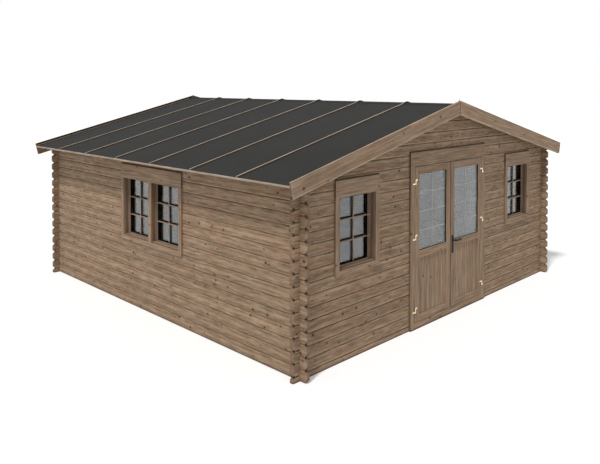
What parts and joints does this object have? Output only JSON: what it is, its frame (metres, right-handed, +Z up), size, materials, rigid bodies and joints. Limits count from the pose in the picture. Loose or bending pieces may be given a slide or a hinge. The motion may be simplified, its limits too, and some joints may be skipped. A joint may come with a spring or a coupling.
{
  "type": "log cabin",
  "caption": "Square garden log cabin with interlocking log corners, a low felted gable roof, a glazed double door that opens outwards, and small-paned windows.",
  "frame": {"origin": "on the ground, at the middle of the square plan", "axes": "+X to the right seen from the front, -Y out of the front gable with the door, +Z up"},
  "size_m": [5.33, 5.12, 2.4479],
  "materials": {
    "log_wood": "brown stained softwood, matt",
    "roof_wood": "sawn softwood, matt",
    "trim_wood": "planed stained softwood, matt",
    "floor_wood": "planed softwood boards",
    "felt": "mineral roofing felt, matt",
    "glass": "clear float glass",
    "hinge_brass": "bright brass",
    "handle_black": "black powder coat"
  },
  "bodies": {
    "cabin": {"left_wall_odd_logs": "log_wood", "left_wall_even_logs": "log_wood", "right_wall_odd_logs": "log_wood", "right_wall_even_logs": "log_wood", "front_wall_odd_logs": "log_wood", "front_wall_even_logs": "log_wood", "rear_wall_odd_logs": "log_wood", "rear_wall_even_logs": "log_wood", "ridge_purlin": "roof_wood", "side_purlins": "roof_wood", "left_roof_boards": "roof_wood", "right_roof_boards": "roof_wood", "left_roof_felt": "felt", "right_roof_felt": "felt", "ridge_felt_strip": "felt", "left_felt_battens": "trim_wood", "right_felt_battens": "trim_wood", "eave_trims": "trim_wood", "front_left_bargeboard": "trim_wood", "front_right_bargeboard": "trim_wood", "rear_left_bargeboard": "trim_wood", "rear_right_bargeboard": "trim_wood", "front_window_frames": "trim_wood", "front_window_trims": "trim_wood", "front_window_sashes": "trim_wood", "front_window_glass": "glass", "side_window_frame": "trim_wood", "side_window_trim": "trim_wood", "side_window_sashes": "trim_wood", "side_window_glass": "glass", "inner_trims": "trim_wood", "door_frame": "trim_wood", "door_trim": "trim_wood", "frame_hinges": "hinge_brass", "floor_boards": "floor_wood", "floor_bearers": "floor_wood"},
    "left_door": {"left_door_leaf": "trim_wood", "left_door_panel": "trim_wood", "left_door_glass": "glass", "left_door_hinges": "hinge_brass"},
    "right_door": {"right_door_leaf": "trim_wood", "right_door_panel": "trim_wood", "right_door_glass": "glass", "right_door_hinges": "hinge_brass", "lever_plates": "handle_black"},
    "lever_handle": {"door_lever": "handle_black"}
  },
  "joints": [
    {"name": "left_door_swing", "type": "hinge", "parent": "cabin", "child": "left_door", "pos_m": [-0.696, -2.443, 0.9], "axis": [0, 0, -1], "range_deg": [0, 110]},
    {"name": "right_door_swing", "type": "hinge", "parent": "cabin", "child": "right_door", "pos_m": [0.696, -2.443, 0.9], "axis": [0, 0, 1], "range_deg": [0, 110]},
    {"name": "lever_turn", "type": "hinge", "parent": "right_door", "child": "lever_handle", "pos_m": [0.043, -2.415, 0.848], "axis": [0, 1, 0], "range_deg": [0, 40], "stiffness_Nm_per_rad": 1.2, "springref_deg": -20.05}
  ]
}
